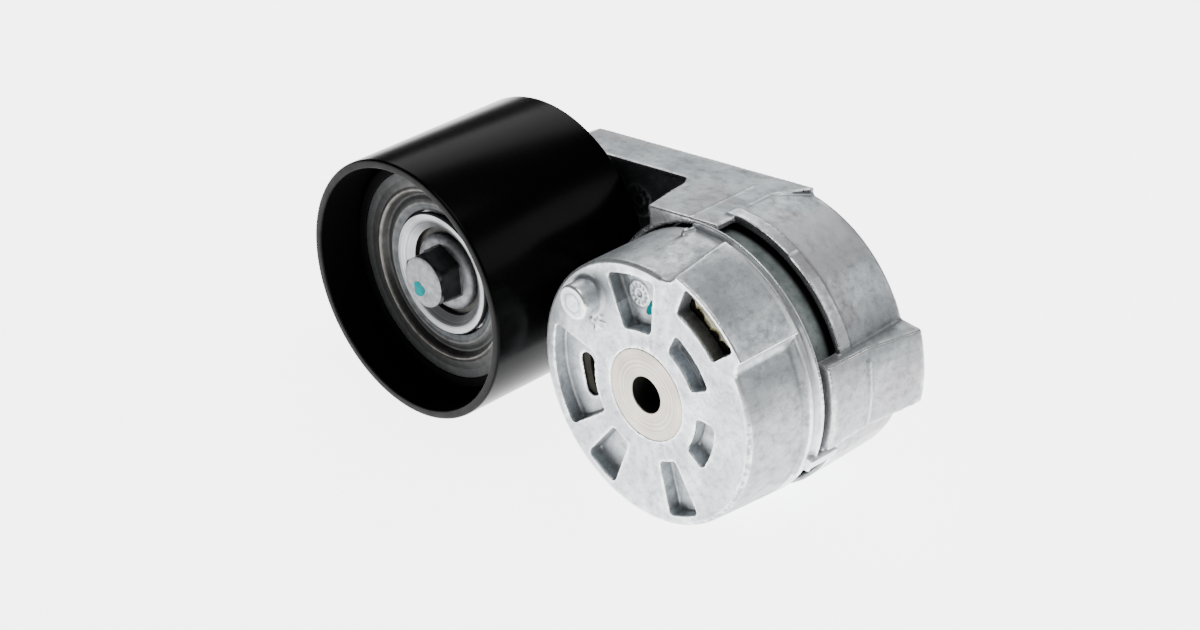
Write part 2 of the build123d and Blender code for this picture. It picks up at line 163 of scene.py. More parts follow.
def lathe(name, profile, x=0.0, segments=160):
    """A closed (radius, y) outline turned about the axis that runs along Y through x."""
    bm = bmesh.new()
    rings = []
    for i in range(segments):
        a = 2 * math.pi * i / segments
        ca, sa = math.cos(a), math.sin(a)
        rings.append([bm.verts.new(((x + r * ca) * MM, y * MM, r * sa * MM)) for r, y in profile])
    n = len(profile)
    for i in range(segments):
        here, there = rings[i], rings[(i + 1) % segments]
        for k in range(n):
            m = (k + 1) % n
            if profile[k][0] < 1e-6 and profile[m][0] < 1e-6:
                continue
            bm.faces.new((here[k], here[m], there[m], there[k]))
    bmesh.ops.remove_doubles(bm, verts=bm.verts, dist=1e-7)
    bmesh.ops.recalc_face_normals(bm, faces=bm.faces)
    mesh = bpy.data.meshes.new(name)
    bm.to_mesh(mesh)
    bm.free()
    soften(mesh)
    return link(mesh, name)


def prism(name, outline, front_y, rear_y):
    """A flat (x, z) outline raised along Y."""
    bm = bmesh.new()
    front = [bm.verts.new((x * MM, front_y * MM, z * MM)) for x, z in outline]
    rear = [bm.verts.new((x * MM, rear_y * MM, z * MM)) for x, z in outline]
    bm.faces.new(front)
    bm.faces.new(rear)
    for i in range(len(outline)):
        j = (i + 1) % len(outline)
        bm.faces.new((front[i], front[j], rear[j], rear[i]))
    bmesh.ops.recalc_face_normals(bm, faces=bm.faces)
    mesh = bpy.data.meshes.new(name)
    bm.to_mesh(mesh)
    bm.free()
    return link(mesh, name)


def loft(name, rings, angle=50.0):
    """A closed skin over a row of outlines with the same number of points, in millimetres."""
    bm = bmesh.new()
    rows = [[bm.verts.new(Vector(p) * MM) for p in ring] for ring in rings]
    count = len(rows[0])
    for here, there in zip(rows, rows[1:]):
        for k in range(count):
            m = (k + 1) % count
            bm.faces.new((here[k], here[m], there[m], there[k]))
    bm.faces.new(rows[0])
    bm.faces.new(rows[-1])
    bmesh.ops.recalc_face_normals(bm, faces=bm.faces)
    mesh = bpy.data.meshes.new(name)
    bm.to_mesh(mesh)
    bm.free()
    soften(mesh, angle)
    return link(mesh, name)


def tube(name, path, radius, sides=20):
    """A round bar along a list of points in millimetres."""
    pts = [Vector(p) for p in path]
    rings = []
    side = None
    for i, p in enumerate(pts):
        ahead = pts[min(i + 1, len(pts) - 1)] - pts[max(i - 1, 0)]
        ahead.normalize()
        if side is None:
            side = ahead.orthogonal().normalized()
        side = (side - ahead * side.dot(ahead)).normalized()
        other = ahead.cross(side)
        ring = []
        for k in range(sides):
            a = 2 * math.pi * k / sides
            ring.append(p + radius * (math.cos(a) * side + math.sin(a) * other))
        rings.append(ring)
    return loft(name, rings)


def arc(radius, start, end, steps):
    """Points (x, z) on an arc round the pivot, in degrees."""
    out = []
    for i in range(steps + 1):
        a = math.radians(start + (end - start) * i / steps)
        out.append((radius * math.cos(a), radius * math.sin(a)))
    return out


def on_circle(radius, y, angle):
    """The point at this distance and angle from the pivot axis."""
    return radius * math.cos(math.radians(angle)), y, radius * math.sin(math.radians(angle))


def apply_modifiers(obj):
    """Keep the mesh that the modifiers make, and drop them."""
    depsgraph = bpy.context.evaluated_depsgraph_get()
    mesh = bpy.data.meshes.new_from_object(obj.evaluated_get(depsgraph))
    obj.modifiers.clear()
    old = obj.data
    obj.data = mesh
    bpy.data.meshes.remove(old)


def join(objects, name):
    """One object from several, in place."""
    bm = bmesh.new()
    for obj in objects:
        bm.from_mesh(obj.data)
    mesh = bpy.data.meshes.new(name)
    bm.to_mesh(mesh)
    bm.free()
    for obj in objects:
        bpy.data.objects.remove(obj)
    return link(mesh, name)


def neighbour_mean(values, edges, degree):
    """The mean of each vertex's neighbours."""
    total = np.zeros_like(values)
    np.add.at(total, edges[:, 0], values[edges[:, 1]])
    np.add.at(total, edges[:, 1], values[edges[:, 0]])
    return total / (degree[:, None] if values.ndim > 1 else degree)


def mesh_arrays(mesh):
    """The vertex places, the edges' two ends and the number of edges at each vertex."""
    co = np.empty(len(mesh.vertices) * 3)
    mesh.vertices.foreach_get("co", co)
    edges = np.empty(len(mesh.edges) * 2, dtype=np.int64)
    mesh.edges.foreach_get("vertices", edges)
    edges = edges.reshape(-1, 2)
    degree = np.maximum(np.bincount(edges.ravel(), minlength=len(mesh.vertices)), 1).astype(float)
    return co.reshape(-1, 3), edges, degree


def mark_edges(obj, spread, gain):
    """Stores how far each point stands out of or sinks into the surface, as the attribute 'edge'."""
    mesh = obj.data
    co, edges, degree = mesh_arrays(mesh)
    normals = np.empty(len(mesh.vertices) * 3)
    mesh.vertices.foreach_get("normal", normals)
    normals = normals.reshape(-1, 3)
    smooth = co
    for _ in range(spread):
        smooth = neighbour_mean(smooth, edges, degree)
    height = ((co - smooth) * normals).sum(1) / MM * gain
    for _ in range(2):
        height = 0.5 * height + 0.5 * neighbour_mean(height, edges, degree)
    value = np.clip(0.5 + height, 0, 1)
    attribute = mesh.attributes.new("edge", "FLOAT", "POINT")
    attribute.data.foreach_set("value", value.astype(np.float32))


def cast_from(node, name, additions, voxel, smoothing, ripple, seed, keep):
    """A casting: the CAD shape and its raised marks as one skin with softened edges and a slight ripple.

    The voxel and the ripple are in millimetres, and keep is the share of faces left after thinning.
    """
    copy = link(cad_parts[node].data.copy(), name + "_raw")
    body = join([copy] + additions, name)
    remesh = body.modifiers.new("skin", "REMESH")
    remesh.mode = "VOXEL"
    remesh.voxel_size = voxel * MM
    remesh.use_smooth_shade = True
    apply_modifiers(body)
    mesh = body.data
    co, edges, degree = mesh_arrays(mesh)
    for _ in range(smoothing):
        co = 0.4 * co + 0.6 * neighbour_mean(co, edges, degree)
        co = co + 0.3 * (co - neighbour_mean(co, edges, degree))
    mesh.vertices.foreach_set("co", co.ravel())
    mesh.update()
    normals = np.empty(len(mesh.vertices) * 3)
    mesh.vertices.foreach_get("normal", normals)
    normals = normals.reshape(-1, 3)
    shift = np.array([
        noise.noise(Vector(p * 140.0) + Vector((seed, 0, 0))) + 0.5 * noise.noise(Vector(p * 420.0))
        for p in co
    ])
    co = co + normals * (shift * ripple * MM)[:, None]
    mesh.vertices.foreach_set("co", co.ravel())
    mesh.update()
    thin = body.modifiers.new("thin", "DECIMATE")
    thin.ratio = keep
    apply_modifiers(body)
    mark_edges(body, 4, 3.8)
    for polygon in body.data.polygons:
        polygon.use_smooth = True
    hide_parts(node)
    return body


# ---------------------------------------------------------------- material helpers
class Recipe:
    """A node material built up one node at a time."""

    def __init__(self, name):
        self.material = bpy.data.materials.new(name)
        self.material.use_nodes = True
        self.tree = self.material.node_tree
        self.shader = self.tree.nodes["Principled BSDF"]
        self.place = self.add("ShaderNodeTexCoord").outputs["Object"]

    def add(self, kind, settings=None, **inputs):
        """A node with these settings and these inputs, which are values or other nodes' outputs."""
        made = self.tree.nodes.new(kind)
        for key, value in (settings or {}).items():
            setattr(made, key, value)
        for key, value in inputs.items():
            self.feed(made.inputs[key.replace("_", " ")], value)
        return made

    def feed(self, socket, value):
        if isinstance(value, bpy.types.NodeSocket):
            self.tree.links.new(value, socket)
        else:
            socket.default_value = value

    def noise(self, scale, detail=4.0, rough=0.5, place=None):
        made = self.add("ShaderNodeTexNoise", Scale=scale, Detail=detail, Roughness=rough)
        self.feed(made.inputs["Vector"], place or self.place)
        return made.outputs["Fac"]

    def ramp(self, value, *stops):
        """A colour for each level of the value: stops are (level, colour or grey)."""
        made = self.add("ShaderNodeValToRGB")
        self.feed(made.inputs["Fac"], value)
        points = made.color_ramp.elements
        while len(points) < len(stops):
            points.new(0.5)
        for point, (level, colour) in zip(points, stops):
            point.position = level
            point.color = (*colour, 1) if isinstance(colour, tuple) else (colour, colour, colour, 1)
        return made.outputs["Color"]

    def math(self, operation, a, b=0.0):
        made = self.add("ShaderNodeMath", {"operation": operation})
        self.feed(made.inputs[0], a)
        self.feed(made.inputs[1], b)
        return made.outputs[0]

    def above(self, value, limit):
        return self.math("GREATER_THAN", value, limit)

    def below(self, value, limit):
        return self.math("LESS_THAN", value, limit)

    def between(self, value, low, high):
        return self.all_of(self.above(value, low), self.below(value, high))

    def all_of(self, *masks):
        """A mask that holds only where all of these do."""
        product = masks[0]
        for mask in masks[1:]:
            product = self.math("MULTIPLY", product, mask)
        return product

    def faded(self, mask, share):
        return self.math("MULTIPLY", mask, share)

    def mix(self, factor, a, b, blend="MIX"):
        made = self.add("ShaderNodeMix", {"data_type": "RGBA", "blend_type": blend})
        self.feed(made.inputs["Factor"], factor)
        self.feed(made.inputs[6], a if isinstance(a, bpy.types.NodeSocket) else (*a, 1))
        self.feed(made.inputs[7], b if isinstance(b, bpy.types.NodeSocket) else (*b, 1))
        return made.outputs[2]

    def radius(self, x=0.0, z=0.0):
        """The distance from an axis along Y, in millimetres."""
        split = self.add("ShaderNodeSeparateXYZ", Vector=self.place)
        dx = self.math("SUBTRACT", split.outputs["X"], x * MM)
        dz = self.math("SUBTRACT", split.outputs["Z"], z * MM)
        square = self.math("ADD", self.math("MULTIPLY", dx, dx), self.math("MULTIPLY", dz, dz))
        return self.math("MULTIPLY", self.math("SQRT", square), 1000.0)

    def turning_rings(self, x, per_mm):
        """A value that changes only with the distance from the axis, as a lathe tool leaves it."""
        return self.stripes(self.math("MULTIPLY", self.radius(x), per_mm))

    def stripes(self, along):
        """A value that changes only along this one coordinate."""
        settings = {"noise_dimensions": "1D"}
        made = self.add("ShaderNodeTexNoise", settings, Scale=1.0, Detail=3.0, Roughness=0.6)
        self.feed(made.inputs["W"], along)
        return made.outputs["Fac"]

    def bump(self, height, strength, distance, normal=None):
        made = self.add("ShaderNodeBump", Strength=strength, Distance=distance * MM)
        self.feed(made.inputs["Height"], height)
        if normal is not None:
            self.feed(made.inputs["Normal"], normal)
        return made.outputs["Normal"]

    def finish(self, colour, roughness, metallic, normal=None, **constants):
        flat = not isinstance(colour, bpy.types.NodeSocket)
        self.feed(self.shader.inputs["Base Color"], (*colour, 1) if flat else colour)
        self.feed(self.shader.inputs["Roughness"], roughness)
        self.shader.inputs["Metallic"].default_value = metallic
        if normal is not None:
            self.feed(self.shader.inputs["Normal"], normal)
        for key, value in constants.items():
            self.shader.inputs[key.replace("_", " ")].default_value = value
        return self.material


def paint(obj, material):
    """Gives the whole object one material."""
    obj.data.materials.clear()
    obj.data.materials.append(material)


# ---------------------------------------------------------------- materials
def raw_casting(name, light, dark, stain, seed, streak, details):
    """Die-cast aluminium: soft stains, cold-flow streaks, fine grain, bright edges that are partly wear and
    partly painted highlight, and painted shade in hollows.
    """
    m = Recipe(name)
    shifted = m.add("ShaderNodeVectorMath", {"operation": "ADD"}, Vector=m.place)
    shifted.inputs[1].default_value = (seed, seed * 0.7, -seed)
    place = shifted.outputs[0]
    stretched = m.add("ShaderNodeMapping", Vector=place)
    stretched.inputs["Scale"].default_value = streak
    flow = stretched.outputs["Vector"]
    cloud = m.noise(34.0, 3.0, 0.5, place)
    patch = m.noise(420.0, 5.0, 0.65, flow)
    grain = m.noise(1700.0, 3.0, 0.6, place)
    base = m.mix(m.ramp(m.noise(95.0, 7.0, 0.68, flow), (0.40, 0.0), (0.60, 1.0)), dark, light)
    base = m.mix(m.ramp(cloud, (0.48, 0.0), (0.64, 0.90)), base, stain)
    base = m.mix(1.0, base, m.ramp(patch, (0.32, 0.72), (0.47, 1.0), (0.68, 1.16)), "MULTIPLY")
    base = m.mix(1.0, base, m.ramp(grain, (0.30, 0.86), (0.5, 1.0), (0.75, 1.08)), "MULTIPLY")
    crease = m.ramp(m.noise(75.0, 2.0, 0.5, flow), (0.485, 1.0), (0.497, 0.84), (0.509, 1.0))
    base = m.mix(1.0, base, crease, "MULTIPLY")
    edge = m.add("ShaderNodeAttribute", {"attribute_name": "edge"}).outputs["Fac"]
    # Bright edges: partly wear, partly a painted highlight along the raised edges.
    wear_and_highlight = m.ramp(edge, (0.58, 0.0), (0.80, 1.0))
    wear_and_highlight = m.math("MULTIPLY", wear_and_highlight, m.ramp(m.noise(300.0, 5.0, 0.7, place), (0.38, 0.15), (0.60, 1.0)))
    base = m.mix(wear_and_highlight, base, (0.88, 0.89, 0.90))
    # Painted shade: sunken spots and hollows in the surface are darkened.
    base = m.mix(m.ramp(edge, (0.18, 0.60), (0.42, 0.0)), base, (0.20, 0.20, 0.205))
    rough = m.ramp(patch, (0.35, 0.52), (0.65, 0.38))
    rough = m.mix(wear_and_highlight, rough, (0.24, 0.24, 0.24))
    base = details(m, base)
    normal = m.bump(m.noise(480.0, 5.0, 0.65, flow), 0.40, 0.12)
    normal = m.bump(grain, 0.30, 0.05, normal)
    return m.finish(base, rough, 0.80, normal)


def base_details(m, colour):
    """Grease in the window and painted shade on its walls, painted shade darkening the drum's side towards
    its bottom, a paler flange, painted shade in the slot, chips on the rim, painted shade on a pocket wall,
    marks on the pin, and grime with painted shade round its foot.
    """
    split = m.add("ShaderNodeSeparateXYZ", Vector=m.place).outputs
    x, y, z = split["X"], split["Y"], split["Z"]
    r = m.radius()
    sector = m.between(z, m.math("MULTIPLY", x, 0.90), m.math("MULTIPLY", x, 3.6))
    window = m.all_of(sector, m.between(y, 1.0 * MM, 17.0 * MM), m.below(r, WINDOW_R + 0.15))
    # Painted shade: the window's walls outside the coil are darkened a little and tinted purple-grey.
    colour = m.mix(m.faded(m.all_of(window, m.above(r, COIL_R)), 0.30), colour, (0.30, 0.26, 0.29))
    grease = m.ramp(m.noise(260.0, 4.0), (0.36, (0.16, 0.13, 0.05)), (0.50, (0.42, 0.36, 0.16)),
                    (0.64, (0.70, 0.64, 0.40)))
    colour = m.mix(m.faded(m.all_of(window, m.above(y, 5.2 * MM)), 0.45), colour, grease)
    # Painted shade: the drum's side is darkened towards its bottom, and not at all at its top.
    side = m.all_of(m.between(y, 1.2 * MM, FLANGE_Y * MM), m.above(r, DRUM_SIDE_R))
    height = m.math("ADD", m.math("MULTIPLY", z, 10.0), 0.5)
    lower = m.ramp(height, (0.30, 0.60), (0.62, 0.42), (0.74, 0.0))
    colour = m.mix(m.all_of(side, lower), colour, (0.10, 0.105, 0.11))
    flange = m.all_of(m.above(y, FLANGE_Y * MM), m.above(r, DRUM_SIDE_R))
    colour = m.mix(m.faded(flange, 0.45), colour, (0.74, 0.76, 0.78))
    # Painted shade: the casting's walls inside the slot are painted near-black.
    slot = m.all_of(m.below(m.radius(*SLOT_CENTRE), 7.4), m.below(r, 28.6),
                    m.above(y, (POCKET_FLOOR_Y + 0.25) * MM))
    colour = m.mix(slot, colour, (0.020, 0.018, 0.010))
    front_rim = m.all_of(m.below(y, 1.1 * MM), m.above(m.radius(*DRUM_CENTRE), DRUM_R - 0.9))
    chipped = m.all_of(front_rim, m.below(z, 9.0 * MM),
                       m.ramp(m.noise(520.0, 4.0, 0.6), (0.46, 0.0), (0.54, 0.65)))
    colour = m.mix(chipped, colour, (0.16, 0.165, 0.17))
    # Painted shade on the wall of the pocket to the right of the pin.
    near_wall = m.all_of(m.below(m.radius(*POCKET_WALL_CENTRE), 4.6), m.below(x, -11.6 * MM))
    shaded_pocket_wall = m.all_of(near_wall, m.above(y, 0.45 * MM))
    colour = m.mix(m.faded(shaded_pocket_wall, 0.60), colour, (0.13, 0.135, 0.14))
    from_pin = m.math("MULTIPLY", m.radius(*PIN_CENTRE), 0.1)
    tip_rings = m.ramp(from_pin, (0.06, 0.0), (0.085, 0.45), (0.11, 0.0),
                       (0.23, 0.0), (0.27, 0.60), (0.31, 0.0))
    colour = m.mix(m.all_of(tip_rings, m.below(y, -5.6 * MM)), colour, (0.17, 0.175, 0.18))
    # Grime and painted shade on the face round the foot of the pin.
    from_pin_foot = m.math("MULTIPLY", m.radius(*PIN_FOOT_GRIME_AND_SHADE_CENTRE), 0.1)
    near_pin = m.all_of(m.ramp(from_pin_foot, (0.52, 0.70), (0.85, 0.0)), m.between(y, -1.2 * MM, 0.5 * MM),
                        m.ramp(m.noise(420.0, 4.0), (0.36, 0.2), (0.60, 1.0)))
    return m.mix(near_pin, colour, (0.22, 0.225, 0.23))


def arm_details(m, colour):
    """Painted shade on the front of the plate and of the wall behind the window, the duller lug, and a
    painted highlight and painted shade across the top of the cup.
    """
    split = m.add("ShaderNodeSeparateXYZ", Vector=m.place).outputs
    x, y, z = split["X"], split["Y"], split["Z"]
    normal = m.add("ShaderNodeNewGeometry").outputs["Normal"]
    faces_front = m.below(m.add("ShaderNodeSeparateXYZ", Vector=normal).outputs["Y"], -0.6)
    lug = m.all_of(m.above(x, 36.0 * MM), m.below(z, 17.0 * MM))
    colour = m.mix(m.faded(lug, 0.42), colour, (0.12, 0.125, 0.13))
    # A painted highlight in a band across the top of the cup, and painted shade further out where it turns
    # down.
    cup = m.all_of(m.above(y, 38.0 * MM), m.above(z, 17.0 * MM))
    across = m.math("MULTIPLY", x, 20.0)
    bright = m.ramp(across, (0.12, 0.0), (0.24, 0.60), (0.36, 0.60), (0.50, 0.0))
    colour = m.mix(m.all_of(cup, bright), colour, (0.84, 0.85, 0.88))
    dim = m.ramp(across, (0.55, 0.0), (0.68, 0.38))
    colour = m.mix(m.all_of(cup, dim), colour, (0.12, 0.115, 0.125))
    # Painted shade on the plate's front face, behind the pulley.
    plate = m.all_of(faces_front, m.above(y, (PLATE_FRONT_Y - 1.5) * MM))
    colour = m.mix(m.faded(plate, 0.90), colour, (0.040, 0.042, 0.046))
    # Painted shade on the front-facing wall behind the window.
    rim = m.all_of(faces_front, m.between(y, 31.0 * MM, 39.0 * MM))
    return m.mix(m.faded(rim, 0.80), colour, (0.050, 0.050, 0.052))


def turned_metal(name, light, dark, axis_x, per_mm, roughness, ring_bump):
    """Turned or ground metal with fine rings round its axis."""
    m = Recipe(name)
    rings = m.turning_rings(axis_x, per_mm)
    colour = m.mix(m.ramp(rings, (0.35, 0.0), (0.65, 1.0)), dark, light)
    blotch = m.noise(120.0, 4.0)
    colour = m.mix(1.0, colour, m.ramp(blotch, (0.3, 0.88), (0.7, 1.06)), "MULTIPLY")
    rough = m.ramp(blotch, (0.3, roughness + 0.08), (0.7, roughness - 0.06))
    normal = m.bump(rings, ring_bump, 0.03)
    return m.finish(colour, rough, 1.0, normal)


def pressed_steel(name, axis_x, reach, stops):
    """A pressed disc, brighter on its ridges and darker in its groove, partly from rubbing and partly as
    painted highlight and painted shade: stops are (radius in mm, colour) up to the reach.
    """
    m = Recipe(name)
    wander = m.math("MULTIPLY", m.noise(160.0, 3.0), 0.5)
    r = m.math("MULTIPLY", m.math("ADD", m.radius(axis_x), wander), 1.0 / reach)
    colour = m.ramp(r, *[((radius + 0.25) / reach, tone) for radius, tone in stops])
    blotch = m.noise(330.0, 5.0, 0.65)
    colour = m.mix(1.0, colour, m.ramp(blotch, (0.32, 0.62), (0.50, 1.0), (0.68, 1.35)), "MULTIPLY")
    rough = m.ramp(blotch, (0.3, 0.52), (0.7, 0.38))
    normal = m.bump(blotch, 0.25, 0.06)
    return m.finish(colour, rough, 0.62, normal)


def gloss_black(name):
    """Black enamel on a rolled drum: glossy, with faint circling marks and dust."""
    m = Recipe(name)
    split = m.add("ShaderNodeSeparateXYZ", Vector=m.place)
    lines = m.stripes(m.math("MULTIPLY", split.outputs["Y"], 900.0))
    haze = m.noise(60.0, 4.0)
    dust = m.ramp(m.noise(2600.0, 2.0), (0.70, 0.0), (0.80, 1.0))
    colour = m.mix(m.math("MULTIPLY", dust, 0.25), (0.0012, 0.0012, 0.0013), (0.03, 0.03, 0.03))
    rough = m.math("ADD", m.math("MULTIPLY", haze, 0.10), m.math("MULTIPLY", lines, 0.06))
    rough = m.math("ADD", rough, 0.14)
    normal = m.bump(lines, 0.06, 0.02)
    normal = m.bump(m.noise(700.0, 3.0), 0.03, 0.03, normal)
    return m.finish(colour, rough, 0.0, normal, IOR=1.12)


def plain_surface(name, light, dark, scale, roughness, metallic, texture, ior=1.5):
    """A surface with soft colour variation and a fine texture, given as (scale, depth in mm)."""
    m = Recipe(name)
    tone = m.noise(scale, 4.0, 0.6)
    colour = m.mix(m.ramp(tone, (0.35, 0.0), (0.65, 1.0)), dark, light)
    rough = m.ramp(tone, (0.3, roughness + 0.07), (0.7, roughness - 0.05))
    normal = m.bump(m.noise(texture[0], 3.0), 0.4, texture[1])
    return m.finish(colour, rough, metallic, normal, IOR=ior)


def sleeve_plastic(name):
    """Grey-green plastic, scuffed where it shows, and painted black with shade under the arm's cup."""
    m = Recipe(name)
    depth = m.math("MULTIPLY", m.add("ShaderNodeSeparateXYZ", Vector=m.place).outputs["Y"], 10.0)
    scuff = m.noise(240.0, 5.0, 0.65)
    colour = m.mix(m.ramp(scuff, (0.38, 0.0), (0.62, 1.0)), (0.12, 0.14, 0.14), (0.23, 0.26, 0.26))
    # Painted shade: the rear of the sleeve, under the arm's cup, is near-black.
    colour = m.mix(m.ramp(depth, (0.322, 0.0), (0.336, 1.0)), colour, (0.0015, 0.0015, 0.0015))
    rough = m.ramp(scuff, (0.35, 0.52), (0.65, 0.38))
    return m.finish(colour, rough, 0.0, m.bump(scuff, 0.3, 0.06), IOR=1.4)


def greasy_spring(name, bare, thin, thick):
    """Dark spring wire under patchy olive-brown grease."""
    m = Recipe(name)
    patch = m.noise(260.0, 4.0, 0.6)
    colour = m.ramp(patch, (0.36, bare), (0.50, thin), (0.66, thick))
    rough = m.ramp(patch, (0.4, 0.35), (0.7, 0.16))
    normal = m.bump(m.noise(600.0, 3.0), 0.5, 0.2)
    return m.finish(colour, rough, 0.15, normal)


BASE_METAL = raw_casting("base_metal", light=(0.60, 0.635, 0.66), dark=(0.36, 0.39, 0.415),
                         stain=(0.36, 0.385, 0.405), seed=0.0, streak=(1.0, 0.75, 1.0), details=base_details)
ARM_METAL = raw_casting("arm_metal", light=(0.53, 0.57, 0.595), dark=(0.34, 0.37, 0.39),
                        stain=(0.40, 0.375, 0.395), seed=3.1, streak=(0.7, 1.0, 1.0), details=arm_details)
SHAFT_METAL = turned_metal("shaft_metal", light=(0.50, 0.46, 0.40), dark=(0.36, 0.325, 0.28),
                           axis_x=0.0, per_mm=1.6, roughness=0.42, ring_bump=0.35)
SILVER_METAL = turned_metal("silver_metal", light=(0.32, 0.328, 0.336), dark=(0.195, 0.20, 0.205),
                            axis_x=PULLEY_X, per_mm=2.2, roughness=0.38, ring_bump=0.12)
# Ring colours: painted highlights on the ridges and painted shade in the groove, with some rubbed wear.
COVER_METAL = pressed_steel("cover_metal", PULLEY_X, 40.0, (
    (18.0, (0.036, 0.040, 0.043)), (20.3, (0.038, 0.043, 0.046)), (21.0, (0.066, 0.067, 0.065)),
    (21.8, (0.028, 0.029, 0.030)), (23.6, (0.016, 0.016, 0.016)), (24.5, (0.034, 0.033, 0.031)),
    (25.15, (0.125, 0.120, 0.110)), (25.8, (0.040, 0.039, 0.038)), (27.5, (0.022, 0.023, 0.023)),
    (31.0, (0.020, 0.021, 0.022))))
PULLEY_PAINT = gloss_black("pulley_paint")
SLEEVE_PLASTIC = sleeve_plastic("sleeve_plastic")
SPRING_GREASE = greasy_spring("spring_grease", bare=(0.035, 0.034, 0.032), thin=(0.16, 0.13, 0.05),
                              thick=(0.30, 0.25, 0.10))
SMEAR_GREASE = greasy_spring("smear_grease", bare=(0.045, 0.042, 0.026), thin=(0.10, 0.090, 0.036),
                             thick=(0.185, 0.170, 0.085))

# Fine textures, as (scale, depth in mm).
SMOOTH, FINE, GRAINED, COARSE = (900.0, 0.03), (900.0, 0.04), (900.0, 0.05), (900.0, 0.06)
MOULDED = (600.0, 0.04)

BOLT_METAL = plain_surface("bolt_metal", (0.19, 0.195, 0.205), (0.11, 0.115, 0.122),
                           scale=420.0, roughness=0.50, metallic=0.75, texture=GRAINED)
# Painted shade: a darker copy of the bolt's steel for the hexagon's sides.
BOLT_SIDES_SHADE = plain_surface("bolt_sides_shade", (0.030, 0.031, 0.033), (0.014, 0.015, 0.016),
                           scale=260.0, roughness=0.42, metallic=0.6, texture=COARSE)
# Painted shade: near-black for the inside of the shaft's bore and the gap round the bolt's flange.
BORE_SHADE = plain_surface("bore_shade", (0.020, 0.018, 0.014), (0.008, 0.008, 0.007),
                           scale=200.0, roughness=0.5, metallic=0.5, texture=FINE)
INNER_PAINT = plain_surface("inner_paint", (0.0012, 0.0012, 0.0012), (0.0008, 0.0008, 0.0008),
                            scale=200.0, roughness=0.6, metallic=0.0, texture=FINE, ior=1.1)
RIM_METAL = plain_surface("rim_metal", (0.010, 0.0098, 0.0095), (0.005, 0.005, 0.005),
                          scale=200.0, roughness=0.42, metallic=0.0, texture=SMOOTH, ior=1.14)
PLAIN_STEEL = plain_surface("plain_steel", (0.55, 0.55, 0.56), (0.42, 0.42, 0.43),
                            scale=200.0, roughness=0.32, metallic=1.0, texture=SMOOTH)
WASHER_STEEL = plain_surface("washer_steel", (0.27, 0.27, 0.275), (0.19, 0.19, 0.195),
                             scale=200.0, roughness=0.36, metallic=1.0, texture=SMOOTH)
DARK_STEEL = plain_surface("dark_steel", (0.085, 0.085, 0.088), (0.055, 0.055, 0.058),
                           scale=200.0, roughness=0.40, metallic=1.0, texture=SMOOTH)
BLACK_RUBBER = plain_surface("black_rubber", (0.03, 0.03, 0.03), (0.018, 0.018, 0.018),
                             scale=200.0, roughness=0.6, metallic=0.0, texture=GRAINED)
NYLON = plain_surface("nylon", (0.026, 0.0245, 0.019), (0.010, 0.0095, 0.007),
                      scale=150.0, roughness=0.40, metallic=0.0, texture=MOULDED, ior=1.12)
BUSH_PLASTIC = plain_surface("bush_plastic", (0.14, 0.15, 0.14), (0.10, 0.11, 0.10),
                             scale=150.0, roughness=0.5, metallic=0.0, texture=MOULDED)
TEAL_PAINT = plain_surface("teal_paint", (0.0, 0.19, 0.20), (0.0, 0.13, 0.14),
                           scale=500.0, roughness=0.55, metallic=0.0, texture=GRAINED, ior=1.1)


# ---------------------------------------------------------------- camera, floor and light
CAMERA_PLACE = Vector((0.42367, -0.45387, 0.41988))
CAMERA_AZIMUTH = math.radians(44.22)
CAMERA_ELEVATION = math.radians(32.50)
CAMERA_ROLL = math.radians(2.32)
CAMERA_LENS = 85.24
SENSOR_WIDTH = 36.0
FLOOR_GLOW = 4.8


def make_camera():
    """A long lens, up and to the right of the mounting face, rolled slightly."""
    data = bpy.data.cameras.new("camera")
    data.lens = CAMERA_LENS
    data.sensor_width = SENSOR_WIDTH
    data.sensor_fit = "HORIZONTAL"
    data.clip_start = 0.01
    data.clip_end = 20.0
    camera = bpy.data.objects.new("camera", data)
    bpy.context.scene.collection.objects.link(camera)
    level = math.cos(CAMERA_ELEVATION)
    ahead = Vector((-math.sin(CAMERA_AZIMUTH) * level, math.cos(CAMERA_AZIMUTH) * level,
                    -math.sin(CAMERA_ELEVATION)))
    flat_right = Vector((math.cos(CAMERA_AZIMUTH), math.sin(CAMERA_AZIMUTH), 0))
    flat_up = flat_right.cross(ahead)
    right = flat_right * math.cos(CAMERA_ROLL) + flat_up * math.sin(CAMERA_ROLL)
    up = right.cross(ahead)
    turn = Matrix((right, up, -ahead)).transposed()
    camera.matrix_world = Matrix.Translation(CAMERA_PLACE) @ turn.to_4x4()
    bpy.context.scene.camera = camera


def area_light(name, place, target, size, power):
    """A rectangular lamp that faces the target."""
    data = bpy.data.lights.new(name, "AREA")
    data.shape = "RECTANGLE"
    data.size, data.size_y = size
    data.energy = power
    lamp = bpy.data.objects.new(name, data)
    bpy.context.scene.collection.objects.link(lamp)
    lamp.location = place
    lamp.rotation_euler = (Vector(target) - Vector(place)).to_track_quat("-Z", "Y").to_euler()


def floor_material():
    """A white table lit from within round the object, and plainer further out."""
    m = Recipe("floor_paint")
    split = m.add("ShaderNodeSeparateXYZ", Vector=m.place)
    square = m.math("ADD", m.math("POWER", split.outputs["X"], 2.0), m.math("POWER", split.outputs["Y"], 2.0))
    reach = m.math("SQRT", square)
    glow = m.ramp(m.math("MULTIPLY", reach, 0.5), (0.16, 1.0), (0.21, 0.35), (0.50, 0.06))
    shade = m.ramp(m.noise(3.0, 2.0), (0.3, 0.88), (0.7, 0.90))
    m.feed(m.shader.inputs["Emission Color"], glow)
    return m.finish(shade, 0.8, 0.0, None, Emission_Strength=FLOOR_GLOW)


